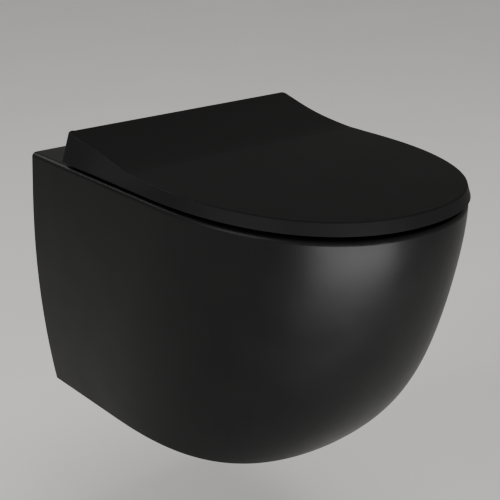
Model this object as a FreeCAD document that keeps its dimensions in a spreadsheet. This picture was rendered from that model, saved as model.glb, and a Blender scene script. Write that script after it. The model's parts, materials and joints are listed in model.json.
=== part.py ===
import FreeCAD, Part
import math
import os
import Sketcher

# Wall hung toilet: skirted ceramic pan, wrap-over seat and lid, wall fixings and pipe seals.
# Frame: origin at the middle of the two wall bolts, on the wall plane.
# X runs to the right, Z up, and the pan stands out of the wall towards -Y. Millimetres.

SIZES = {
    # wall connections
    "bolt_spacing": 180.0,
    "bolt_radius": 6.0,
    "inlet_height": 35.0,
    "inlet_pipe_radius": 22.5,
    "inlet_bore_radius": 27.5,
    "inlet_bore_length": 60.0,
    "outlet_drop": 100.0,
    "outlet_radius": 51.0,
    "outlet_bore_radius": 44.0,
    "outlet_length": 62.0,
    "outlet_setback": 6.0,
    "socket_room": 15.0,
    # outside of the pan, as D-shaped levels from the deck down
    "deck_height": 80.0,
    "pan_height": 317.5,
    "rim_width": 358.4,
    "rim_reach": 497.0,
    "shoulder_depth": 60.0,
    "shoulder_width": 363.6,
    "shoulder_reach": 490.8,
    "belly_depth": 130.0,
    "belly_width": 364.6,
    "belly_reach": 473.5,
    "waist_depth": 200.0,
    "waist_width": 356.8,
    "waist_reach": 447.5,
    "heel_depth": 265.0,
    "heel_width": 341.8,
    "heel_reach": 407.0,
    "foot_width": 324.0,
    "foot_reach": 355.4,
    "rim_flank": 252.0,
    "foot_flank": 143.0,
    "rim_taper": 3.0,
    "foot_taper": 1.0,
    "edge_round": 6.0,
    "foot_round": 2.5,
    # ceramic thicknesses
    "shell_wall": 10.0,
    "bowl_wall": 9.0,
    "deck_thickness": 14.0,
    "flange_thickness": 14.0,
    # bowl and trap
    "bowl_width": 276.0,
    "bowl_front": 462.0,
    "bowl_back": 150.0,
    "bowl_middle": 290.0,
    "sump_depth": 274.0,
    "sump_width": 56.0,
    "sump_front": 252.0,
    "sump_back": 186.0,
    "trap_radius": 28.0,
    "trap_bend": 42.0,
    "trap_mouth": 230.0,
    "trap_foot": 165.0,
    "trap_crest": 118.0,
    "trap_end": 52.0,
    "weir_height": 136.0,
    "crest_corner": 29.5,
    # seat and lid
    "lid_gap": 4.9,
    "lid_back": 68.0,
    "lid_overhang": 1.6,
    "lid_front_height": 14.0,
    "lid_back_height": 37.0,
    "lid_ramp": 138.0,
    "lid_wall": 4.5,
    "lid_corner": 8.0,
    "lid_edge": 2.0,
    "flare_plain": 0.31,
    "flare_ramp": 0.70,
    "flare_peak": 166.0,
    "flare_fade": 200.0,
    "seat_lift": 3.5,
    "seat_thickness": 9.3,
    "seat_side_gap": 0.8,
    "seat_edge": 3.0,
    "seat_hole_width": 226.0,
    "seat_hole_front": 446.0,
    "seat_hole_middle": 295.0,
    "seat_hole_back": 168.0,
    "arm_root": 12.0,
    "arm_step": 1.0,
    "arm_play": 2.0,
    "bumper_radius": 8.0,
    "bumper_peg": 3.0,
    "bumper_peg_radius": 3.0,
    "bumper_inset": 6.0,
    "lid_bumper_inset": 16.0,
    # hinges
    "hinge_spacing": 155.0,
    "axis_behind": 14.0,
    "axis_height": 24.0,
    "barrel_radius": 9.0,
    "post_width": 24.0,
    "knuckle_length": 16.0,
    "axle_radius": 4.0,
    "axle_chamfer": 0.5,
    "insert_radius": 6.0,
    "cap_thickness": 2.0,
    "base_radius": 17.0,
    "base_thickness": 3.2,
    "hinge_gasket_thickness": 1.2,
    "stud_radius": 4.0,
    "stud_length": 52.0,
    "stud_depth": 9.0,
    "stud_chamfer": 1.0,
    "deck_hole_radius": 8.0,
    "cone_collar": 2.0,
    "cone_taper": 1.5,
    "hinge_washer_radius": 12.0,
    "hinge_washer_thickness": 1.6,
    "wing_nut_height": 9.0,
    "wing_nut_radius": 7.0,
    "wing_span": 34.0,
    "wing_thickness": 3.0,
    "wing_root": 1.0,
    "wing_rise": 3.6,
    "wing_droop": 4.5,
    "wing_tip_droop": 1.8,
    "wing_slope": 2.0,
    # wall fixings
    "sleeve_radius": 11.0,
    "sleeve_flange_radius": 16.0,
    "sleeve_flange": 3.0,
    "boss_radius": 24.0,
    "boss_height": 10.0,
    "bolt_play": 0.5,
    "washer_radius": 15.0,
    "washer_thickness": 2.5,
    "nut_across_flats": 19.0,
    "nut_height": 10.0,
    "thread_play": 0.1,
    # seals and flush insert
    "seal_length": 30.0,
    "seal_setback": 5.0,
    "seal_lip": 2.0,
    "gasket_thickness": 3.8,
    "gasket_length": 26.0,
    "gasket_collar": 3.0,
    "gasket_lead": 1.5,
    "gasket_setback": 2.0,
    "passage_radius": 24.0,
    "passage_entry": 20.0,
    "insert_length": 34.0,
    "insert_wall": 3.0,
    "spreader_thickness": 3.0,
    "spout_width": 7.0,
    # clearances
    "seat_play": 0.3,
    "running_play": 0.05,
    "sleeve_play": 0.2,
    # how far a cutting solid passes the faces that it cuts
    "overrun": 4.0,
    "skim": 1.0,
}

doc = FreeCAD.newDocument("wall_hung_toilet")
sheet = doc.addObject("Spreadsheet::Sheet", "Sizes")
for row, (alias, number) in enumerate(SIZES.items(), start=1):
    sheet.set(f"A{row}", alias.replace("_", " "))
    sheet.set(f"B{row}", str(number))
    sheet.setAlias(f"B{row}", alias)
doc.recompute()


def bound(text):
    """Put the sheet's name before each alias in an expression."""
    words = []
    for word in text.replace("(", " ( ").replace(")", " ) ").split():
        words.append(f"Sizes.{word}" if word in SIZES else word)
    return " ".join(words)


def size(text):
    """Value of an expression in the sheet's aliases."""
    return float(sheet.evalExpression(bound(text)))


def vector(x, y, z):
    return FreeCAD.Vector(x, y, z)


ALONG_Y = FreeCAD.Rotation(vector(1, 0, 0), -90)
ALONG_X = FreeCAD.Rotation(vector(0, 1, 0), 90)
UPRIGHT = FreeCAD.Rotation()


# ---------------------------------------------------------------- document helpers

def place(item, rotation, x="0", y="0", z="0"):
    """Turn an object and tie its position to the sheet."""
    item.Placement = FreeCAD.Placement(vector(size(x), size(y), size(z)), rotation)
    for axis, text in (("x", x), ("y", y), ("z", z)):
        item.setExpression(f".Placement.Base.{axis}", bound(text))
    return item


def cylinder(name, radius, height, rotation=UPRIGHT, x="0", y="0", z="0"):
    item = doc.addObject("Part::Cylinder", name)
    item.setExpression("Radius", bound(radius))
    item.setExpression("Height", bound(height))
    return place(item, rotation, x, y, z)


def cut(name, base, tool):
    item = doc.addObject("Part::Cut", name)
    item.Base = base
    item.Tool = tool
    return item


def fuse(name, shapes):
    item = doc.addObject("Part::MultiFuse", name)
    item.Shapes = shapes
    return item


def mirrored(name, item):
    """Copy of an object on the other side of the middle plane."""
    copy = doc.addObject("Part::Mirroring", name)
    copy.Source = item
    copy.Normal = (1, 0, 0)
    copy.Base = (0, 0, 0)
    return copy


def pair(name, item):
    """A piece and its mirror image, as two solids of one node."""
    both = doc.addObject("Part::Compound", name)
    both.Links = [item, mirrored(f"{name}_opposite", item)]
    return both


def origin_plane(body, role):
    return next(plane for plane in body.Origin.OriginFeatures if plane.Role == role)


def sketch_on(body, name, role):
    sketch = body.newObject("Sketcher::SketchObject", name)
    sketch.AttachmentSupport = [(origin_plane(body, role), "")]
    sketch.MapMode = "FlatFace"
    return sketch


def outline_sketch(body, name, role, corners):
    """Closed polygon whose corners are expressions, measured from the sketch's origin."""
    sketch = sketch_on(body, name, role)
    spots = [vector(size(across), size(up), 0) for across, up in corners]
    count = len(corners)
    for i in range(count):
        sketch.addGeometry(Part.LineSegment(spots[i], spots[(i + 1) % count]), False)
    for i in range(count):
        sketch.addConstraint(Sketcher.Constraint("Coincident", i, 2, (i + 1) % count, 1))
    for i, (across, up) in enumerate(corners):
        for kind, text, value in (("DistanceX", across, spots[i].x), ("DistanceY", up, spots[i].y)):
            index = sketch.addConstraint(Sketcher.Constraint(kind, -1, 1, i, 1, value))
            sketch.setExpression(f"Constraints[{index}]", bound(text))
    return sketch


def circle_sketch(body, name, role, radius, across="0", up="0"):
    sketch = sketch_on(body, name, role)
    middle = vector(size(across), size(up), 0)
    sketch.addGeometry(Part.Circle(middle, vector(0, 0, 1), size(radius)), False)
    index = sketch.addConstraint(Sketcher.Constraint("Radius", 0, size(radius)))
    sketch.setExpression(f"Constraints[{index}]", bound(radius))
    for kind, text, value in (("DistanceX", across, middle.x), ("DistanceY", up, middle.y)):
        index = sketch.addConstraint(Sketcher.Constraint(kind, -1, 1, 0, 3, value))
        sketch.setExpression(f"Constraints[{index}]", bound(text))
    return sketch


def turned(name, corners):
    """Body of revolution about its own Z axis from (radius, height) corners."""
    body = doc.addObject("PartDesign::Body", name)
    sketch = outline_sketch(body, f"{name}_profile", "XZ_Plane", corners)
    turn = body.newObject("PartDesign::Revolution", f"{name}_turn")
    turn.Profile = sketch
    turn.ReferenceAxis = (sketch, ["V_Axis"])
    turn.Angle = 360
    return body


def ring(name, inner, outer, length):
    return turned(name, [(inner, "0"), (outer, "0"), (outer, length), (inner, length)])


def pad(body, name, sketch, length, both_ways=False):
    feature = body.newObject("PartDesign::Pad", name)
    feature.Profile = sketch
    feature.Midplane = both_ways
    feature.setExpression("Length", bound(length))
    return feature


def pocket(body, name, sketch, length, both_ways=False):
    feature = body.newObject("PartDesign::Pocket", name)
    feature.Profile = sketch
    feature.Midplane = both_ways
    feature.setExpression("Length", bound(length))
    return feature


def freeform(name, shape):
    """A piece whose curved walls are built by the functions below from the sheet's sizes."""
    item = doc.addObject("Part::Feature", name)
    item.Shape = shape
    item.Placement = FreeCAD.Placement()
    return item


# ---------------------------------------------------------------- plan outlines

# How far the nose curve's middle poles run along the flank and across the nose.
FULL_RIM = (0.435, 0.795)
FULL_FOOT = (0.55, 0.868)
# A face or edge this close to a plane lies in it.
NEAR = 0.01


def half_plan(half_width, reach, flank, taper, fullness, back):
    """Right half of a D plan: flank start, flank end and the four poles of the nose curve."""
    start = vector(half_width - taper * back / flank, -back, 0)
    shoulder = vector(half_width - taper, -flank, 0)
    along = vector(-taper, -flank, 0)
    along.normalize()
    tip = vector(0, -reach, 0)
    poles = [
        shoulder,
        shoulder + along * fullness[0] * (reach - flank),
        vector(shoulder.x * fullness[1], -reach, 0),
        tip,
    ]
    return start, shoulder, poles


def flip(point):
    return vector(-point.x, point.y, point.z)


def lift(point, height):
    return vector(point.x, point.y, height)


def bezier_edge(poles):
    curve = Part.BezierCurve()
    curve.setPoles(poles)
    return curve.toShape()


def d_wire(plan, height):
    """Closed D: back edge, flank, nose, nose, flank."""
    start, shoulder, poles = plan
    nose = [lift(pole, height) for pole in poles]
    other = [flip(pole) for pole in reversed(nose)]
    first = lift(start, height)
    return Part.Wire([
        Part.makeLine(flip(first), first),
        Part.makeLine(first, nose[0]),
        bezier_edge(nose),
        bezier_edge(other),
        Part.makeLine(other[-1], flip(first)),
    ])


def pan_levels():
    """Depth, half width and reach of each level of the pan's outside."""
    names = ("rim", "shoulder", "belly", "waist", "heel", "foot")
    depths = [0.0] + [size(f"{name}_depth") for name in names[1:-1]] + [size("pan_height")]
    return [
        (depth, size(f"{name}_width") / 2, size(f"{name}_reach"))
        for name, depth in zip(names, depths)
    ]


def blend(first, last, share):
    return first + (last - first) * share


def pan_plan(depth, half_width, reach, back=0.0):
    """D plan of the pan at a depth under the deck."""
    share = depth / size("pan_height")
    fullness = [blend(rim, foot, share ** 3) for rim, foot in zip(FULL_RIM, FULL_FOOT)]
    flank = blend(size("rim_flank"), size("foot_flank"), share)
    taper = blend(size("rim_taper"), size("foot_taper"), share)
    return half_plan(half_width, reach, flank, taper, fullness, back)


def egg_wire(half_width, front, middle, back, height, power):
    """Closed smooth egg: widest at middle, with squarer corners for a larger power."""
    count = 24
    points = []
    for i in range(count):
        angle = 2 * math.pi * i / count
        across = math.copysign(abs(math.cos(angle)) ** (2 / power), math.cos(angle))
        along = math.copysign(abs(math.sin(angle)) ** (2 / power), math.sin(angle))
        length = middle - back if along > 0 else front - middle
        points.append(vector(half_width * across, -middle + length * along, height))
    curve = Part.BSplineCurve()
    curve.interpolate(points, PeriodicFlag=True)
    return Part.Wire([curve.toShape()])


# ---------------------------------------------------------------- ceramic pan

def pan_outside():
    """Skirt and deck as one rounded solid, trimmed flat where it stands against the wall."""
    deck = size("deck_height")
    foot = deck - size("pan_height")
    behind = size("overrun")
    wires = [d_wire(pan_plan(*level, -behind), deck - level[0]) for level in pan_levels()]
    solid = Part.makeLoft(wires, True, False)
    for height, radius in ((deck, size("edge_round")), (foot, size("foot_round"))):
        solid = solid.makeFillet(radius, level_edges(solid, height))
    width = size("rim_width")
    in_wall = Part.makeBox(width * 2, behind * 2, deck - foot + behind * 2,
                           vector(-width, 0, foot - behind))
    return solid.cut(in_wall)


def level_edges(solid, height):
    """A solid's edges at a height, apart from the straight one at its back."""
    return [edge for edge in solid.Edges if is_level(edge, height) and not is_back(edge)]


def is_level(edge, height):
    box = edge.BoundBox
    return abs(box.ZMin - height) < NEAR and abs(box.ZMax - height) < NEAR


def is_back(edge):
    return edge.BoundBox.YLength < NEAR


def pan_inside():
    """Hollow inside the skirt, open below, with the back plate left standing at the wall."""
    wall = size("shell_wall")
    back = size("flange_thickness")
    deck = size("deck_height")
    roof = size("deck_thickness")
    levels = pan_levels()
    wires = []
    for depth, half_width, reach in levels:
        plan = pan_plan(depth, half_width - wall, reach - wall, back)
        wires.append(d_wire(plan, deck - max(depth, roof)))
    last = wires[-1].copy()
    last.translate(vector(0, 0, -wall))
    wires.append(last)
    return Part.makeLoft(wires, True, False)


def bowl_levels():
    """Share of the way down, share of the way in, and squareness, from the rim to the sump."""
    return ((0.0, 0.0, 2.5), (0.13, 0.02, 2.5), (0.3, 0.1, 2.4), (0.51, 0.31, 2.3),
            (0.73, 0.63, 2.15), (0.89, 0.86, 2.05), (1.0, 1.0, 2.0))


def bowl_solid(wall, top):
    """The bowl's space, or with a wall its outside, from a top height down to the sump."""
    deck = size("deck_height")
    wires = []
    for down, inward, power in bowl_levels():
        half_width = blend(size("bowl_width"), size("sump_width"), inward) / 2 + wall
        front = blend(size("bowl_front"), size("sump_front"), inward) + wall
        back = blend(size("bowl_back"), size("sump_back"), inward ** 0.6) - wall
        middle = blend(size("bowl_middle"), (size("sump_front") + size("sump_back")) / 2, inward)
        height = deck - (size("sump_depth") + wall) * down if down else top
        wires.append(egg_wire(half_width, front, middle, back, height, power))
    return Part.makeLoft(wires, True, False)


def trap_route():
    """Corners of the trap's centre line: out of the sump, up to the weir and down to the outlet."""
    low = size("deck_height - sump_depth + trap_radius")
    crest = size("deck_height - weir_height + trap_radius + crest_corner")
    end = -size("outlet_drop")
    return [(-size("trap_mouth"), low), (-size("trap_foot"), low), (-size("trap_crest"), crest),
            (-size("trap_end"), end), (0.0, end)]


def rounded_path(corners, bend):
    """Straight runs in the middle plane joined by arcs."""
    points = [vector(0, y, z) for y, z in corners]
    edges = []
    last = points[0]
    for before, corner, after in zip(points, points[1:], points[2:]):
        inward = (before - corner).normalize()
        outward = (after - corner).normalize()
        half = inward.getAngle(outward) / 2
        tangent = bend / math.tan(half)
        begin = corner + inward * tangent
        end = corner + outward * tangent
        middle_way = (inward + outward).normalize()
        centre = corner + middle_way * (bend / math.sin(half))
        top = centre - middle_way * bend
        edges.append(Part.makeLine(last, begin))
        edges.append(Part.Arc(begin, top, end).toShape())
        last = end
    edges.append(Part.makeLine(last, points[-1]))
    return Part.Wire(edges)


def trap_solid(radius):
    path = rounded_path(trap_route(), size("trap_bend"))
    start = path.Edges[0].valueAt(path.Edges[0].FirstParameter)
    section = Part.Wire([Part.makeCircle(radius, start, vector(0, 1, 0))])
    return path.makePipeShell([section], True, False)


def ceramic_pan():
    """Skirt, deck, bowl, trap and pipe ends as one fired piece."""
    outside = freeform("pan_outside", pan_outside())
    hollow = freeform("pan_hollow", pan_inside())
    bowl_wall = size("bowl_wall")
    in_deck = size("deck_height - deck_thickness / 2")
    over_deck = size("deck_height + deck_thickness / 2")
    bowl_body = freeform("bowl_outside", bowl_solid(bowl_wall, in_deck))
    bowl_space = freeform("bowl_space", bowl_solid(0.0, over_deck))
    trap_body = freeform("trap_outside", trap_solid(size("trap_radius") + bowl_wall))
    trap_space = freeform("trap_space", trap_solid(size("trap_radius")))
    skirt = cut("pan_skirt", outside, hollow)
    spigot = cylinder("outlet_spigot", "outlet_radius", "outlet_length", ALONG_Y,
                      "0", "- outlet_length - outlet_setback", "- outlet_drop")
    spigot_bore = cylinder("outlet_bore", "outlet_bore_radius", "outlet_length", ALONG_Y,
                           "0", "- outlet_length + outlet_setback", "- outlet_drop")
    socket_room = cylinder("socket_room", "outlet_radius + socket_room",
                           "flange_thickness + overrun * 2", ALONG_Y,
                           "0", "- flange_thickness - overrun", "- outlet_drop")
    open_skirt = cut("open_skirt", skirt, socket_room)
    inlet_body = cylinder("inlet_outside", "inlet_bore_radius + bowl_wall", "bowl_back", ALONG_Y,
                          "0", "- bowl_back", "inlet_height")
    inlet_bore = cylinder("inlet_bore", "inlet_bore_radius", "inlet_bore_length + overrun", ALONG_Y,
                          "0", "- inlet_bore_length", "inlet_height")
    passage = cylinder("inlet_passage", "passage_radius", "bowl_back + passage_entry", ALONG_Y,
                       "0", "- bowl_back - passage_entry", "inlet_height")
    bosses = pair("bolt_bosses", cylinder("bolt_boss", "boss_radius", "flange_thickness + boss_height",
                                          ALONG_Y, "bolt_spacing / 2",
                                          "- flange_thickness - boss_height"))
    bolt_holes = pair("bolt_holes", cylinder("bolt_hole", "sleeve_radius + sleeve_play",
                                             "flange_thickness + boss_height + overrun * 2",
                                             ALONG_Y, "bolt_spacing / 2",
                                             "- flange_thickness - boss_height - overrun"))
    hinge_holes = pair("hinge_holes", cylinder("hinge_hole", "deck_hole_radius",
                                               "deck_thickness + overrun * 2", UPRIGHT,
                                               "hinge_spacing / 2", "- lid_back + axis_behind",
                                               "deck_height - deck_thickness - overrun"))
    body = fuse("pan_body", [open_skirt, bowl_body, trap_body, spigot, inlet_body, bosses])
    spaces = fuse("pan_spaces", [bowl_space, trap_space, spigot_bore, inlet_bore, passage,
                                 bolt_holes, hinge_holes])
    return cut("ceramic_pan", body, spaces)


# ---------------------------------------------------------------- wall fixings and seals

def fixing_sleeves():
    """Plastic sleeves that centre the wall bolts in the ceramic, flanged on the inside."""
    body = turned("fixing_sleeve", [
        ("bolt_radius + bolt_play", "0"),
        ("sleeve_flange_radius", "0"),
        ("sleeve_flange_radius", "sleeve_flange"),
        ("sleeve_radius", "sleeve_flange"),
        ("sleeve_radius", "sleeve_flange + flange_thickness + boss_height"),
        ("bolt_radius + bolt_play", "sleeve_flange + flange_thickness + boss_height"),
    ])
    place(body, ALONG_Y, "bolt_spacing / 2", "- flange_thickness - boss_height - sleeve_flange")
    return pair("fixing_sleeves", body)


FIXING_FACE = "- flange_thickness - boss_height - sleeve_flange"


def fixing_washers():
    body = ring("fixing_washer", "bolt_radius + bolt_play", "washer_radius", "washer_thickness")
    place(body, ALONG_Y, "bolt_spacing / 2", f"{FIXING_FACE} - washer_thickness")
    return pair("fixing_washers", body)


def fixing_nuts():
    """Hexagon nuts drawn up on the washers."""
    body = doc.addObject("PartDesign::Body", "fixing_nut")
    hexagon = body.newObject("PartDesign::AdditivePrism", "nut_hexagon")
    hexagon.Polygon = 6
    hexagon.setExpression("Circumradius", bound("nut_across_flats / 3 ^ 0.5"))
    hexagon.setExpression("Height", bound("nut_height"))
    bore = body.newObject("PartDesign::SubtractiveCylinder", "nut_bore")
    bore.setExpression("Radius", bound("bolt_radius + thread_play"))
    bore.setExpression("Height", bound("nut_height"))
    place(body, ALONG_Y, "bolt_spacing / 2", f"{FIXING_FACE} - washer_thickness - nut_height")
    return pair("fixing_nuts", body)


def inlet_seal():
    """Rubber ring between the flush pipe and the ceramic, with a bevelled lip at each end."""
    body = turned("inlet_seal", [
        ("inlet_pipe_radius + sleeve_play", "0"),
        ("inlet_bore_radius - seal_lip", "0"),
        ("inlet_bore_radius - running_play", "seal_lip"),
        ("inlet_bore_radius - running_play", "seal_length - seal_lip"),
        ("inlet_bore_radius - seal_lip", "seal_length"),
        ("inlet_pipe_radius + sleeve_play", "seal_length"),
    ])
    return place(body, ALONG_Y, "0", "- seal_setback - seal_length", "inlet_height")


def outlet_gasket():
    """Rubber sleeve round the outlet, which seals it in the drain socket."""
    inner = "outlet_radius + running_play"
    outer = "outlet_radius + gasket_thickness"
    body = turned("outlet_gasket", [
        (inner, "0"),
        (f"{outer} + gasket_collar", "0"),
        (f"{outer} + gasket_collar", "gasket_collar"),
        (outer, "gasket_collar"),
        (outer, "gasket_collar + gasket_length - gasket_lead"),
        (f"{outer} - gasket_lead", "gasket_collar + gasket_length"),
        (inner, "gasket_collar + gasket_length"),
    ])
    start = "- outlet_setback - gasket_setback - gasket_length - gasket_collar"
    return place(body, ALONG_Y, "0", start, "- outlet_drop")


def flush_distributor():
    """Plastic insert at the mouth of the inlet, which spreads the flush left, right and down."""
    body = turned("flush_distributor", [
        ("0", "0"),
        ("passage_radius - seat_play", "0"),
        ("passage_radius - seat_play", "insert_length"),
        ("passage_radius - insert_wall", "insert_length"),
        ("passage_radius - insert_wall", "spreader_thickness"),
        ("0", "spreader_thickness"),
    ])
    spouts = outline_sketch(body, "spout_outline", "XY_Plane", [
        ("- passage_radius", "- spout_width"),
        ("passage_radius", "- spout_width"),
        ("passage_radius", "spout_width / 2"),
        ("- passage_radius", "spout_width / 2"),
    ])
    slots = pocket(body, "spout_slots", spouts, "spreader_thickness + spout_width * 2", True)
    body.Tip = slots
    return place(body, ALONG_Y, "0", "- bowl_back", "inlet_height")


# ---------------------------------------------------------------- hinges

AXIS_Y = "- lid_back + axis_behind"
AXIS_Z = "deck_height + axis_height"
HINGE_X = "hinge_spacing / 2"
KNUCKLE_GAP = "( post_width / 2 + seat_play )"


def hinge_gaskets():
    body = ring("hinge_gasket", "stud_radius + running_play", "base_radius", "hinge_gasket_thickness")
    place(body, UPRIGHT, HINGE_X, AXIS_Y, "deck_height")
    return pair("hinge_gaskets", body)


def hinge_base(name, side):
    """Round foot with an upright post, whose rounded head holds the axle."""
    body = doc.addObject("PartDesign::Body", name)
    rise = "( axis_height - hinge_gasket_thickness )"
    foot = circle_sketch(body, f"{name}_foot_outline", "XY_Plane", "base_radius")
    pad(body, f"{name}_foot", foot, "base_thickness")
    post = outline_sketch(body, f"{name}_post_outline", "YZ_Plane", [
        ("- barrel_radius", "base_thickness / 2"),
        ("barrel_radius", "base_thickness / 2"),
        ("barrel_radius", rise),
        ("- barrel_radius", rise),
    ])
    pad(body, f"{name}_post", post, "post_width", True)
    head = circle_sketch(body, f"{name}_head_outline", "YZ_Plane", "barrel_radius", "0", rise)
    pad(body, f"{name}_head", head, "post_width", True)
    eye = circle_sketch(body, f"{name}_eye_outline", "YZ_Plane", "axle_radius + running_play",
                        "0", rise)
    pocket(body, f"{name}_eye", eye, "post_width + overrun", True)
    socket = circle_sketch(body, f"{name}_socket_outline", "XY_Plane", "stud_radius + running_play")
    hole = pocket(body, f"{name}_socket", socket, "stud_depth * 2", True)
    body.Tip = hole
    return place(body, UPRIGHT, f"{side} * {HINGE_X}", AXIS_Y, "deck_height + hinge_gasket_thickness")


def hinge_studs():
    """Threaded studs from the hinge feet down through the deck."""
    body = turned("hinge_stud", [
        ("0", "0"),
        ("stud_radius - stud_chamfer", "0"),
        ("stud_radius", "stud_chamfer"),
        ("stud_radius", "stud_length"),
        ("0", "stud_length"),
    ])
    place(body, UPRIGHT, HINGE_X, AXIS_Y,
          "deck_height + hinge_gasket_thickness + stud_depth - stud_length - running_play")
    return pair("hinge_studs", body)


def hinge_cones():
    """Rubber cones that centre the studs in the deck's holes, with a collar under the deck."""
    body = turned("hinge_cone", [
        ("stud_radius + running_play", "0"),
        ("hinge_washer_radius", "0"),
        ("hinge_washer_radius", "cone_collar"),
        ("deck_hole_radius - running_play", "cone_collar"),
        ("deck_hole_radius - cone_taper", "deck_thickness"),
        ("stud_radius + running_play", "deck_thickness"),
    ])
    place(body, UPRIGHT, HINGE_X, AXIS_Y, "deck_height - deck_thickness - cone_collar")
    return pair("hinge_cones", body)


def hinge_washers():
    body = ring("hinge_washer", "stud_radius + seat_play", "hinge_washer_radius",
                "hinge_washer_thickness")
    place(body, UPRIGHT, HINGE_X, AXIS_Y,
          "deck_height - deck_thickness - cone_collar - hinge_washer_thickness")
    return pair("hinge_washers", body)


def wing_nuts():
    """Wing nuts, turned by hand from under the deck."""
    body = ring("wing_nut", "stud_radius + thread_play", "wing_nut_radius", "wing_nut_height")
    wings = outline_sketch(body, "wing_outline", "XZ_Plane", [
        ("wing_nut_radius - wing_root", "wing_rise"),
        ("wing_nut_radius - wing_root", "0"),
        ("wing_span / 2 - wing_slope", "- wing_droop"),
        ("wing_span / 2", "- wing_tip_droop"),
        ("wing_span / 2", "wing_rise"),
    ])
    right = pad(body, "wing_right", wings, "wing_thickness", True)
    other = body.newObject("PartDesign::Mirrored", "wing_left")
    other.Originals = [right]
    other.MirrorPlane = (origin_plane(body, "YZ_Plane"), [""])
    body.Tip = other
    place(body, UPRIGHT, HINGE_X, AXIS_Y,
          "deck_height - deck_thickness - cone_collar - hinge_washer_thickness - wing_nut_height")
    return pair("wing_nuts", body)


def axle(name, side):
    """Steel pin through the post and both knuckles."""
    half = "( post_width / 2 + seat_play + knuckle_length - cap_thickness - seat_play )"
    body = turned(name, [
        ("0", f"- {half}"),
        ("axle_radius - axle_chamfer", f"- {half}"),
        ("axle_radius", f"- {half} + axle_chamfer"),
        ("axle_radius", f"{half} - axle_chamfer"),
        ("axle_radius - axle_chamfer", half),
        ("0", half),
    ])
    return place(body, ALONG_X, f"{side} * {HINGE_X}", AXIS_Y, AXIS_Z)


def knuckle_insert(name, side, outward):
    """Bush or damper cartridge inside one knuckle."""
    length = "knuckle_length - cap_thickness - seat_play"
    body = ring(name, "axle_radius + running_play", "insert_radius - running_play", length)
    towards = side if outward else -side
    start = KNUCKLE_GAP if towards > 0 else f"( 0 - {KNUCKLE_GAP} - ( {length} ) )"
    return place(body, ALONG_X, f"{side} * {HINGE_X} + {start}", AXIS_Y, AXIS_Z)


def knuckle_caps(name, outboard):
    """Round plugs that close the far end of a pair of knuckle bores."""
    body = turned(f"{name}_plug", [
        ("0", "0"),
        ("insert_radius - running_play", "0"),
        ("insert_radius - running_play", "cap_thickness"),
        ("0", "cap_thickness"),
    ])
    spot = f"{HINGE_X} + {KNUCKLE_GAP} + knuckle_length - cap_thickness"
    if not outboard:
        spot = f"{HINGE_X} - {KNUCKLE_GAP} - knuckle_length"
    place(body, ALONG_X, spot, AXIS_Y, AXIS_Z)
    return pair(name, body)


def knuckle_bore(x_start, side):
    """Bore of one knuckle, as a solid to cut."""
    start = vector(x_start, size(AXIS_Y), size(AXIS_Z))
    return Part.makeCylinder(size("insert_radius"), size("knuckle_length"), start, vector(side, 0, 0))


# ---------------------------------------------------------------- seat

def seat_bottom():
    return size("deck_height + seat_lift")


def swing_radius():
    """How far the lower edge of the lid's back wall swings from the hinge axis."""
    forward = size("axis_behind + lid_wall")
    down = size("axis_height - lid_gap")
    return math.hypot(forward, down) + size("seat_play") * 2


def seat_back():
    """Distance of the seat's back edge from the wall, clear of the lid's swinging back wall."""
    up = size("axis_height - seat_lift - seat_thickness")
    return size("lid_back - axis_behind") + math.sqrt(swing_radius() ** 2 - up ** 2)


def lid_plan(inset, back):
    half_width = size("rim_width") / 2 + size("lid_overhang") - inset
    reach = size("rim_reach") + size("lid_overhang") - inset
    return half_plan(half_width, reach, size("rim_flank"), size("rim_taper"), FULL_RIM, back)


def seat_arm(x_left, width):
    """Arm from the seat's back edge up to its knuckle, tangent to the knuckle's round."""
    axis = vector(x_left, size(AXIS_Y), size(AXIS_Z))
    radius = size("barrel_radius")
    low = seat_bottom() + size("arm_step")
    high = seat_bottom() + size("seat_thickness - arm_step")
    root = -seat_back() - size("arm_root")
    upper = tangent_point(axis, radius, vector(x_left, -seat_back(), high), 1)
    lower = tangent_point(axis, radius, vector(x_left, -seat_back(), low), -1)
    corners = [vector(x_left, root, low), vector(x_left, -seat_back(), low), lower, axis, upper,
               vector(x_left, -seat_back(), high), vector(x_left, root, high),
               vector(x_left, root, low)]
    arm = Part.Face(Part.makePolygon(corners)).extrude(vector(width, 0, 0))
    round_end = Part.makeCylinder(radius, width, axis, vector(1, 0, 0))
    return arm.fuse(round_end)


def tangent_point(centre, radius, outside, side):
    """Where a line from an outside point touches a circle, on the upper or lower side."""
    reach = outside - centre
    distance = math.hypot(reach.y, reach.z)
    middle = math.atan2(reach.z, reach.y)
    spread = math.acos(radius / distance)
    angle = middle - side * spread
    return vector(centre.x, centre.y + radius * math.cos(angle), centre.z + radius * math.sin(angle))


def seat_knuckle_starts():
    """Left end of each seat knuckle, inboard of its post."""
    inner = size(f"{HINGE_X} - {KNUCKLE_GAP}")
    length = size("knuckle_length")
    return (inner - length, -inner)


def seat_inset():
    """How far the seat stands inside the lid's outline, clear of the lid's leaning sides."""
    rise = size("seat_lift + seat_thickness - lid_gap")
    return size("lid_wall + seat_side_gap") + size("flare_ramp") * rise


# Squareness of the seat's opening, where 2 is an ellipse.
HOLE_POWER = 2.2


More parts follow.
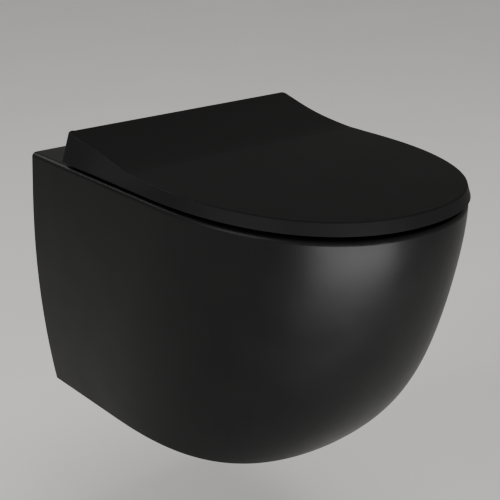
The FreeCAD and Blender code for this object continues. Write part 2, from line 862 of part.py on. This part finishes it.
def seat_ring():
    """Flat ring with an arm and a knuckle at each hinge."""
    height = size("seat_thickness")
    skim = size("skim")
    base = Part.Face(d_wire(lid_plan(seat_inset(), seat_back()), seat_bottom()))
    plate = base.extrude(vector(0, 0, height))
    hole = egg_wire(size("seat_hole_width") / 2, size("seat_hole_front"), size("seat_hole_middle"),
                    size("seat_hole_back"), seat_bottom() - skim, HOLE_POWER)
    plate = plate.cut(Part.Face(hole).extrude(vector(0, 0, height + skim * 2)))
    top = seat_bottom() + height
    edges = [edge for edge in plate.Edges if is_level(edge, top) and not is_back(edge)]
    plate = plate.makeFillet(size("seat_edge"), edges)
    for start in seat_knuckle_starts():
        plate = plate.fuse(seat_arm(start, size("knuckle_length")))
    for start in seat_knuckle_starts():
        plate = plate.cut(knuckle_bore(start, 1))
    for x, y in seat_bumper_spots():
        peg = Part.makeCylinder(size("bumper_peg_radius"), size("bumper_peg"),
                                vector(x, y, seat_bottom()))
        plate = plate.cut(peg)
    return freeform("seat_ring", plate.removeSplitter())


# How far along the rim's reach the two pairs of bumpers stand.
BUMPER_SHARES = (0.4, 0.78)
# Share of a bumper's thickness that its lower edge is rounded by.
BUMPER_ROUND = 0.3


def seat_bumper_spots():
    """Two bumpers at each side, over the middle of the rim."""
    spots = []
    for share in BUMPER_SHARES:
        y = -size("rim_reach") * share
        across = rim_half_width(-y) - size("edge_round + bumper_radius + bumper_inset")
        spots += [(-across, y), (across, y)]
    return spots


def rim_half_width(reach):
    """Half width of the rim's outline at a distance from the wall."""
    wire = d_wire(lid_plan(size("lid_overhang"), 0.0), 0.0)
    line = Part.makeLine(vector(0, -reach, 0), vector(size("rim_width"), -reach, 0))
    return wire.distToShape(line)[1][0][0].x


def bumper(x, y, base, thickness, radius, peg, peg_radius):
    """Low round pad with a peg that plugs into the piece above."""
    pad_solid = Part.makeCylinder(radius, thickness, vector(x, y, base))
    rim_edge = [edge for edge in pad_solid.Edges if is_level(edge, base)]
    pad_solid = pad_solid.makeFillet(thickness * BUMPER_ROUND, rim_edge)
    return pad_solid.fuse(Part.makeCylinder(peg_radius, peg, vector(x, y, base + thickness)))


def seat_bumpers():
    play = size("running_play")
    pads = [
        bumper(x, y, size("deck_height"), size("seat_lift"), size("bumper_radius"),
               size("bumper_peg") - play, size("bumper_peg_radius") - play)
        for x, y in seat_bumper_spots()
    ]
    return freeform("seat_bumpers", Part.makeCompound(pads))


# ---------------------------------------------------------------- lid

def lid_bottom():
    return size("deck_height + lid_gap")


def flare(reach):
    """Run per rise of the lid's slanted side band; the ramp's part leans in the most."""
    past = reach - size("flare_peak")
    away = past / size("flare_fade" if past > 0 else "flare_peak - lid_back")
    bump = math.cos(min(abs(away), 1.0) * math.pi / 2) ** 2
    return blend(size("flare_plain"), size("flare_ramp"), bump)


def band_wire(plan, rise, height):
    """The lid's plan drawn in by the flare times the rise, with the same edges as a D wire."""
    start, shoulder, poles = plan
    nose = Part.BezierCurve()
    nose.setPoles(poles)
    flank_points = [start + (shoulder - start) * (i / 8) for i in range(9)]
    nose_points = [nose.value(i / 10) for i in range(11)]
    flank_in = [shift_in(point, shoulder - start, rise, height) for point in flank_points]
    tangents = [nose.tangent(i / 10)[0] for i in range(11)]
    nose_in = [shift_in(point, way, rise, height) for point, way in zip(nose_points, tangents)]
    flank_in[0] = vector(flank_in[0].x, start.y, height)
    nose_in[-1] = vector(0, nose_in[-1].y, height)
    return Part.Wire([
        Part.makeLine(flip(flank_in[0]), flank_in[0]),
        smooth_edge(flank_in),
        smooth_edge(nose_in),
        smooth_edge([flip(point) for point in reversed(nose_in)]),
        smooth_edge([flip(point) for point in reversed(flank_in)]),
    ])


def shift_in(point, way, rise, height):
    """Move a plan point at right angles to its outline, towards the middle."""
    inward = vector(way.y, -way.x, 0)
    inward.normalize()
    moved = point + inward * flare(-point.y) * rise
    return lift(moved, height)


def smooth_edge(points):
    curve = Part.BSplineCurve()
    curve.interpolate(points)
    return curve.toShape()


# The ramp curve's middle poles: their shares of its length, and the first one's share of its fall.
RAMP_ALONG = (0.175, 0.815)
RAMP_FALL = 0.31
# The rounding of the lid's top edge at the back: its share of the upright corner's radius, and the
# most that the wall can take.
CORNER_SHARE = 0.72
WALL_SHARE = 2.6


def lid_profile(inset):
    """Side view of the lid: upright back, ramp and level front, drawn in by an inset."""
    base = lid_base(inset)
    back = size("lid_back")
    crown = lid_bottom() + size("lid_back_height") - inset
    level = lid_bottom() + size("lid_front_height") - inset
    length = size("lid_ramp")
    front = size("rim_reach + lid_overhang + overrun")
    top_back = vector(0, -back - inset, crown)
    low_back = vector(0, -back - inset, base)
    ramp = [
        top_back,
        vector(0, -back - length * RAMP_ALONG[0], blend(crown, level, RAMP_FALL)),
        vector(0, -back - length * RAMP_ALONG[1], level),
        vector(0, -back - length, level),
    ]
    edges = [
        Part.makeLine(low_back, top_back),
        bezier_edge(ramp),
        Part.makeLine(ramp[-1], vector(0, -front, level)),
        Part.makeLine(vector(0, -front, level), vector(0, -front, base)),
        Part.makeLine(vector(0, -front, base), low_back),
    ]
    reach = size("rim_width")
    face = Part.Face(Part.Wire(edges))
    face.translate(vector(-reach, 0, 0))
    return face.extrude(vector(reach * 2, 0, 0))


def lid_base(inset):
    """Underside of the lid, or of the hollow cut into it."""
    return lid_bottom() - (size("skim") if inset else 0.0)


def lid_sides(inset):
    """Solid inside the lid's slanted side band."""
    rise = size("lid_back_height + overrun")
    plan = lid_plan(inset, size("lid_back - skim"))
    low = d_wire(plan, lid_base(inset))
    high = band_wire(plan, rise, lid_bottom() + rise)
    return Part.makeLoft([low, high], True, True)


def lid_solid(inset):
    return lid_sides(inset).common(lid_profile(inset))


def lid_knuckle_starts():
    """Left end of each lid knuckle, outboard of its post."""
    outer = size(f"{HINGE_X} + {KNUCKLE_GAP}")
    return (outer, -outer - size("knuckle_length"))


def lid_knuckle(x_left):
    """Lug from the lid's back wall to the axle."""
    radius = size("barrel_radius")
    length = size("knuckle_length")
    axis = vector(x_left, size(AXIS_Y), size(AXIS_Z))
    depth = size("axis_behind + lid_wall / 2")
    lug = Part.makeBox(length, depth, radius * 2, axis + vector(0, -depth, -radius))
    return lug.fuse(Part.makeCylinder(radius, length, axis, vector(1, 0, 0)))


def arm_notch(x_left):
    """Opening in the lid's back wall for the seat's arm."""
    play = size("arm_play")
    low = size("deck_height + lid_gap - skim")
    high = size(f"{AXIS_Z} + arm_play")
    depth = size("lid_wall + overrun")
    corner = vector(x_left - play, size("skim - lid_back") - depth, low)
    return Part.makeBox(size("knuckle_length") + play * 2, depth, high - low, corner)


def lid():
    """Shell with slanted sides, two lugs for the hinges and openings for the seat's arms."""
    outer = lid_solid(0.0)
    outer = outer.makeFillet(size("lid_corner"), [edge for edge in outer.Edges if is_upright_corner(edge)])
    shell = round_top(outer).cut(lid_solid(size("lid_wall")))
    for start in seat_knuckle_starts():
        shell = shell.cut(arm_notch(start))
    for start in lid_knuckle_starts():
        shell = shell.fuse(lid_knuckle(start))
    for start in lid_knuckle_starts():
        shell = shell.cut(knuckle_bore(start, 1))
    return freeform("lid", shell.removeSplitter())


def is_upright_corner(edge):
    """The two edges where the lid's sides meet its back."""
    box = edge.BoundBox
    at_back = box.YMax > -size("lid_back + skim") and box.YLength < size("skim")
    return at_back and box.ZLength > size("lid_back_height") / 2


def round_top(solid):
    """Round the loop of edges round the lid's top, more at the back than along the level front."""
    rounding = doc.addObject("Part::Fillet", "lid_rounding")
    rounding.Base = freeform("lid_block", solid)
    rounding.Edges = [
        (number, edge_radius(edge.Vertexes[0]), edge_radius(edge.Vertexes[-1]))
        for number, edge in enumerate(solid.Edges, 1)
        if is_top_edge(edge)
    ]
    doc.recompute()
    return rounding.Shape


def edge_radius(vertex):
    """Radius of the lid's top edge at that place, which shrinks along the ramp."""
    past = -vertex.Y - size("lid_back + lid_corner")
    share = min(max(past / size("lid_ramp - lid_corner"), 0.0), 1.0)
    widest = min(size("lid_corner") * CORNER_SHARE, size("lid_wall") * WALL_SHARE)
    return blend(widest, size("lid_edge"), share)


def is_top_edge(edge):
    """The edges round the lid's top, where it meets the sides and the back."""
    lowest = edge.BoundBox.ZMin
    return lowest > lid_bottom() + size("lid_front_height") - size("skim") and not is_seam(edge)


def is_seam(edge):
    """The straight lines across the lid's top, where one stretch of its curve meets the next."""
    box = edge.BoundBox
    return box.YLength < NEAR and box.YMax < -size("lid_back + skim")


def lid_bumpers():
    """Thin pads under the lid that land on the seat."""
    top = lid_bottom() + size("lid_front_height - lid_wall")
    base = seat_bottom() + size("seat_thickness")
    pads = []
    for x, y in seat_bumper_spots():
        nearer = x * (1.0 - size("lid_bumper_inset") / abs(x))
        pads.append(Part.makeCylinder(size("bumper_radius"), top - base, vector(nearer, y, base)))
    return freeform("lid_bumpers", Part.makeCompound(pads))


# ---------------------------------------------------------------- assembly

PARTS = [
    ceramic_pan(),
    flush_distributor(),
    inlet_seal(),
    outlet_gasket(),
    fixing_sleeves(),
    fixing_washers(),
    fixing_nuts(),
    hinge_gaskets(),
    hinge_base("hinge_base_left", -1),
    hinge_base("hinge_base_right", 1),
    hinge_studs(),
    hinge_cones(),
    hinge_washers(),
    wing_nuts(),
    axle("axle_left", -1),
    axle("axle_right", 1),
    seat_ring(),
    seat_bumpers(),
    knuckle_insert("seat_damper", -1, False),
    knuckle_insert("seat_bush", 1, False),
    knuckle_caps("seat_knuckle_caps", False),
    lid(),
    lid_bumpers(),
    knuckle_insert("lid_damper", 1, True),
    knuckle_insert("lid_bush", -1, True),
    knuckle_caps("lid_knuckle_caps", True),
]


def check(items):
    """Stop if any object failed, or a part has no valid solid."""
    for item in doc.Objects:
        if "Invalid" in item.State or "Error" in item.State:
            raise RuntimeError(f"{item.Label} failed: {item.State}")
    for item in items:
        if item.Shape.isNull() or not item.Shape.isValid() or not item.Shape.Solids:
            raise RuntimeError(f"{item.Label} has no valid solid")


doc.recompute()
check(PARTS)
os.makedirs("parts", exist_ok=True)
for item in PARTS:
    item.Shape.exportStep(f"parts/{item.Label}.step")
    box = item.Shape.BoundBox
    print(f"{item.Label}: {len(item.Shape.Solids)} solids, {item.Shape.Volume:.0f} mm3, "
          f"{box.XLength:.1f} x {box.YLength:.1f} x {box.ZLength:.1f} mm")
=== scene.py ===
import json
import math

import bpy
from mathutils import Matrix, Vector

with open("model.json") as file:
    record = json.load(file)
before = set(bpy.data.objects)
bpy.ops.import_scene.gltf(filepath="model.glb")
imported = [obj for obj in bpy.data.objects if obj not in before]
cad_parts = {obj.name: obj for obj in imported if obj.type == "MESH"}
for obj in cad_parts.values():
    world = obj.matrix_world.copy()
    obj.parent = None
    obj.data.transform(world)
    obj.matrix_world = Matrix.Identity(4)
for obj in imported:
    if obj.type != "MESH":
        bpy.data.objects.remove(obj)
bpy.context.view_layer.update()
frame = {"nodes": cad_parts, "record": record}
nodes = frame["nodes"]

# Metres, in the part's own frame: the wall is y = 0, the toilet stands out along -Y, and z = 0 is the height
# of the two wall bolts.

# ---------------------------------------------------------------- camera
# The place, turn and lens that were fitted to the object's outline in the photograph.
CAMERA_PLACE = Vector((-0.8683, -1.2740, 0.4931))
CAMERA_YAW = math.radians(39.17)
CAMERA_PITCH = math.radians(20.8)
CAMERA_ROLL = math.radians(0.39)
# Millimetres.
SENSOR_WIDTH = 36.0
FOCAL_LENGTH = 85.97


def make_camera():
    """The camera at the photograph's angle."""
    data = bpy.data.cameras.new("camera")
    data.sensor_width = SENSOR_WIDTH
    data.lens = FOCAL_LENGTH
    camera = bpy.data.objects.new("camera", data)
    turn = Matrix.Rotation(-CAMERA_YAW, 4, "Z")
    tilt = Matrix.Rotation(math.pi / 2 - CAMERA_PITCH, 4, "X")
    roll = Matrix.Rotation(CAMERA_ROLL, 4, "Z")
    camera.matrix_world = Matrix.Translation(CAMERA_PLACE) @ turn @ tilt @ roll
    bpy.context.collection.objects.link(camera)
    bpy.context.scene.camera = camera


# ---------------------------------------------------------------- light
# What the lamps face: the middle of the pan, or for the low one in front, the front of the bowl.
AIM = Vector((0.0, -0.25, -0.10))
KEY_AIM = Vector((-0.09, -0.47, -0.04))

# The tint and strength of the soft light from all round, and the plain colour that is seen in its place.
WARM_WHITE = (1.0, 0.99, 0.97, 1.0)
SKY_STRENGTH = 0.30
BACKGROUND = (0.36, 0.355, 0.345, 1.0)


def area_light(name, place, width, height, power, aim=AIM):
    """A soft box that faces the object and stays unseen by the camera."""
    data = bpy.data.lights.new(name, "AREA")
    data.shape = "RECTANGLE"
    data.size = width
    data.size_y = height
    data.energy = power
    light = bpy.data.objects.new(name, data)
    light.location = place
    light.visible_camera = False
    light.rotation_euler = (aim - Vector(place)).to_track_quat("-Z", "Y").to_euler()
    bpy.context.collection.objects.link(light)
    return light


def make_lights():
    """A low wide box in front, soft ones at the left and above, and one behind for the edges.

    Returns the two that are for the object alone.
    """
    key = area_light("key", (-0.27, -1.10, -0.27), width=1.05, height=0.32, power=25, aim=KEY_AIM)
    area_light("left", (-2.5, 0.05, 0.80), width=1.3, height=1.1, power=42)
    area_light("top", (0.5, -0.6, 2.8), width=2.2, height=1.8, power=38)
    edge = area_light("edge", (-0.75, 1.35, 1.20), width=1.0, height=0.7, power=12)
    return key, edge


def seen_rays(tree):
    """1 for rays from the camera, a reflection or a clear material, 0 for those that only light."""
    rays = tree.nodes.new("ShaderNodeLightPath")
    seen = rays.outputs["Is Camera Ray"]
    for name in ("Is Glossy Ray", "Is Transmission Ray"):
        either = tree.nodes.new("ShaderNodeMath")
        either.operation = "MAXIMUM"
        tree.links.new(seen, either.inputs[0])
        tree.links.new(rays.outputs[name], either.inputs[1])
        seen = either.outputs[0]
    return seen


def make_world():
    """A soft even light, which the camera and reflections see as a plain pale background."""
    world = bpy.data.worlds.new("studio")
    bpy.context.scene.world = world
    world.use_nodes = True
    tree = world.node_tree
    tree.nodes.clear()
    output = tree.nodes.new("ShaderNodeOutputWorld")
    mix = tree.nodes.new("ShaderNodeMixShader")
    soft = tree.nodes.new("ShaderNodeBackground")
    seen = tree.nodes.new("ShaderNodeBackground")
    soft.inputs["Color"].default_value = WARM_WHITE
    soft.inputs["Strength"].default_value = SKY_STRENGTH
    seen.inputs["Color"].default_value = BACKGROUND
    seen.inputs["Strength"].default_value = 1.0
    tree.links.new(seen_rays(tree), mix.inputs["Fac"])
    tree.links.new(soft.outputs[0], mix.inputs[1])
    tree.links.new(seen.outputs[0], mix.inputs[2])
    tree.links.new(mix.outputs[0], output.inputs["Surface"])


# ---------------------------------------------------------------- materials
# The range of the noise that is spread over a finish's whole change. What lies outside it is clipped.
NOISE_LOW = 0.3
NOISE_HIGH = 0.7


def grey(value):
    """A colour with no hue."""
    return (value, value, value)


class Finish:
    """A material built from one shader, with fine changes of colour, gloss and height over the surface."""

    def __init__(self, name, colour, roughness, specular=0.5, metallic=0.0):
        self.material = bpy.data.materials.new(name)
        self.material.use_nodes = True
        self.tree = self.material.node_tree
        self.shader = self.tree.nodes["Principled BSDF"]
        self.shader.inputs["Base Color"].default_value = (*colour, 1.0)
        self.shader.inputs["Roughness"].default_value = roughness
        self.shader.inputs["Specular IOR Level"].default_value = specular
        self.shader.inputs["Metallic"].default_value = metallic
        self.colour = colour
        self.roughness = roughness
        self.place = self.tree.nodes.new("ShaderNodeTexCoord").outputs["Object"]
        self.height = None

    def noise(self, grain, detail, stretch=(1.0, 1.0, 1.0)):
        """Noise from 0 to 1 whose grains are about that many metres across."""
        mapping = self.tree.nodes.new("ShaderNodeMapping")
        mapping.inputs["Scale"].default_value = stretch
        self.tree.links.new(self.place, mapping.inputs["Vector"])
        texture = self.tree.nodes.new("ShaderNodeTexNoise")
        texture.inputs["Scale"].default_value = 1.0 / grain
        texture.inputs["Detail"].default_value = detail
        self.tree.links.new(mapping.outputs[0], texture.inputs["Vector"])
        return texture.outputs["Fac"]

    def spread(self, noise, low, high):
        """The noise's middle range, spread from low to high."""
        remap = self.tree.nodes.new("ShaderNodeMapRange")
        remap.inputs["From Min"].default_value = NOISE_LOW
        remap.inputs["From Max"].default_value = NOISE_HIGH
        remap.inputs["To Min"].default_value = low
        remap.inputs["To Max"].default_value = high
        self.tree.links.new(noise, remap.inputs["Value"])
        return remap.outputs["Result"]

    def mottle(self, noise, other):
        """The colour drifts towards the other one with the noise."""
        mix = self.tree.nodes.new("ShaderNodeMix")
        mix.data_type = "RGBA"
        mix.inputs["A"].default_value = (*self.colour, 1.0)
        mix.inputs["B"].default_value = (*other, 1.0)
        self.tree.links.new(self.spread(noise, 0.0, 1.0), mix.inputs["Factor"])
        self.tree.links.new(mix.outputs["Result"], self.shader.inputs["Base Color"])

    def gloss(self, noise, change):
        """The roughness falls and rises by the change."""
        low = self.roughness - change
        high = self.roughness + change
        self.tree.links.new(self.spread(noise, low, high), self.shader.inputs["Roughness"])

    def relief(self, noise, height):
        """The surface rises by that many metres where the noise is 1, on top of any relief before."""
        bump = self.tree.nodes.new("ShaderNodeBump")
        bump.inputs["Distance"].default_value = height
        bump.inputs["Strength"].default_value = 1.0
        self.tree.links.new(noise, bump.inputs["Height"])
        if self.height is not None:
            self.tree.links.new(self.height, bump.inputs["Normal"])
        self.height = bump.outputs["Normal"]
        self.tree.links.new(self.height, self.shader.inputs["Normal"])


def matt_glaze():
    """Matt black glaze on fired clay: a very fine grain, faint clouds and a slow waviness."""
    finish = Finish("matt_glaze", (0.0026, 0.0026, 0.0027), roughness=0.38, specular=0.085)
    clouds = finish.noise(0.045, detail=4.0)
    grain = finish.noise(0.0009, detail=2.0)
    finish.mottle(clouds, grey(0.0032))
    finish.gloss(clouds, change=0.025)
    finish.relief(finish.noise(0.09, detail=1.0), height=0.0008)
    finish.relief(grain, height=0.000012)
    return finish.material


def matt_duroplast():
    """Matt black moulded duroplast, with the fine even grain of its mould."""
    finish = Finish("matt_duroplast", (0.0046, 0.0046, 0.0047), roughness=0.52, specular=0.048)
    grain = finish.noise(0.0007, detail=3.0)
    clouds = finish.noise(0.06, detail=3.0)
    finish.mottle(clouds, grey(0.0056))
    finish.gloss(clouds, change=0.02)
    finish.relief(grain, height=0.00001)
    return finish.material


def rubber(name, colour, other):
    """Moulded rubber, dull and slightly dusty."""
    finish = Finish(name, colour, roughness=0.72, specular=0.3)
    finish.mottle(finish.noise(0.006, detail=4.0), other)
    finish.gloss(finish.noise(0.004, detail=3.0), change=0.06)
    finish.relief(finish.noise(0.0012, detail=3.0), height=0.00003)
    return finish.material


def moulded_plastic(name, colour, other, roughness):
    """Injection-moulded plastic with a light spark-eroded grain."""
    finish = Finish(name, colour, roughness)
    finish.mottle(finish.noise(0.010, detail=3.0), other)
    finish.gloss(finish.noise(0.003, detail=3.0), change=0.05)
    finish.relief(finish.noise(0.0006, detail=2.0), height=0.00001)
    return finish.material


def powder_coat(name, colour, other):
    """Powder coat with a fine orange peel."""
    finish = Finish(name, colour, roughness=0.42)
    finish.mottle(finish.noise(0.008, detail=3.0), other)
    finish.gloss(finish.noise(0.002, detail=2.0), change=0.04)
    finish.relief(finish.noise(0.0015, detail=1.0), height=0.00003)
    return finish.material


def drawn_metal(name, colour, other, roughness, stretch):
    """Bare metal with fine marks along the axis whose stretch is smallest."""
    finish = Finish(name, colour, roughness, metallic=1.0)
    marks = finish.noise(0.0006, detail=3.0, stretch=stretch)
    finish.mottle(finish.noise(0.007, detail=4.0), other)
    finish.gloss(marks, change=0.08)
    finish.relief(marks, height=0.000008)
    return finish.material


def dress():
    """Gives each carried-over node the finish of its material slot."""
    finishes = {
        "matt_ceramic": matt_glaze(),
        "matt_duroplast": matt_duroplast(),
        "black_rubber": rubber("black_rubber", grey(0.016), grey(0.024)),
        "grey_rubber": rubber("grey_rubber", grey(0.08), (0.10, 0.10, 0.098)),
        "white_plastic": moulded_plastic(
            "white_plastic", (0.70, 0.70, 0.68), (0.74, 0.74, 0.72), roughness=0.40
        ),
        "damper_plastic": moulded_plastic("damper_plastic", grey(0.05), grey(0.065), roughness=0.45),
        "black_metal": powder_coat("black_metal", grey(0.014), grey(0.018)),
        "zinc_steel": drawn_metal(
            "zinc_steel", (0.62, 0.62, 0.60), (0.52, 0.53, 0.53), roughness=0.34, stretch=(1.0, 1.0, 0.1)
        ),
        "stainless_steel": drawn_metal(
            "stainless_steel", (0.58, 0.57, 0.55), (0.52, 0.51, 0.50), roughness=0.26, stretch=(0.1, 1.0, 1.0)
        ),
    }
    slots = {part["node"]: part["material_slot"] for part in frame["record"]["subparts"]}
    for name, node in nodes.items():
        for slot in node.material_slots:
            slot.material = finishes[slots[name]]


# ---------------------------------------------------------------- floor
# How far the floor lies below the wall bolts, and how far it reaches to each side.
FLOOR_DROP = 0.433
FLOOR_REACH = 40.0
# How much paler the floor looks than the lamps alone make it.
FLOOR_LIFT = 0.12


def floor_finish():
    """A pale smooth screed."""
    finish = Finish("pale_floor", (0.78, 0.77, 0.75), roughness=0.75, specular=0.2)
    finish.mottle(finish.noise(0.35, detail=5.0), (0.81, 0.80, 0.78))
    finish.relief(finish.noise(0.02, detail=4.0), height=0.0003)
    lift = finish.tree.nodes.new("ShaderNodeMath")
    lift.operation = "MULTIPLY"
    lift.inputs[1].default_value = FLOOR_LIFT
    finish.tree.links.new(seen_rays(finish.tree), lift.inputs[0])
    finish.shader.inputs["Emission Color"].default_value = WARM_WHITE
    finish.tree.links.new(lift.outputs[0], finish.shader.inputs["Emission Strength"])
    return finish.material


def make_floor():
    """The plain pale floor that the toilet hangs above."""
    left, right = -FLOOR_REACH, FLOOR_REACH
    around = [(left, left), (right, left), (right, right), (left, right)]
    mesh = bpy.data.meshes.new("floor")
    mesh.from_pydata([(x, y, -FLOOR_DROP) for x, y in around], [], [(0, 1, 2, 3)])
    floor = bpy.data.objects.new("floor", mesh)
    mesh.materials.append(floor_finish())
    bpy.context.collection.objects.link(floor)
    return floor


def keep_off(lights, thing):
    """These lamps would burn bright patches into the thing, so they leave it unlit."""
    unlit = bpy.data.collections.new("unlit")
    unlit.objects.link(thing)
    unlit.collection_objects[0].light_linking.link_state = "EXCLUDE"
    for light in lights:
        light.light_linking.receiver_collection = unlit


make_camera()
object_lights = make_lights()
make_world()
dress()
keep_off(object_lights, make_floor())
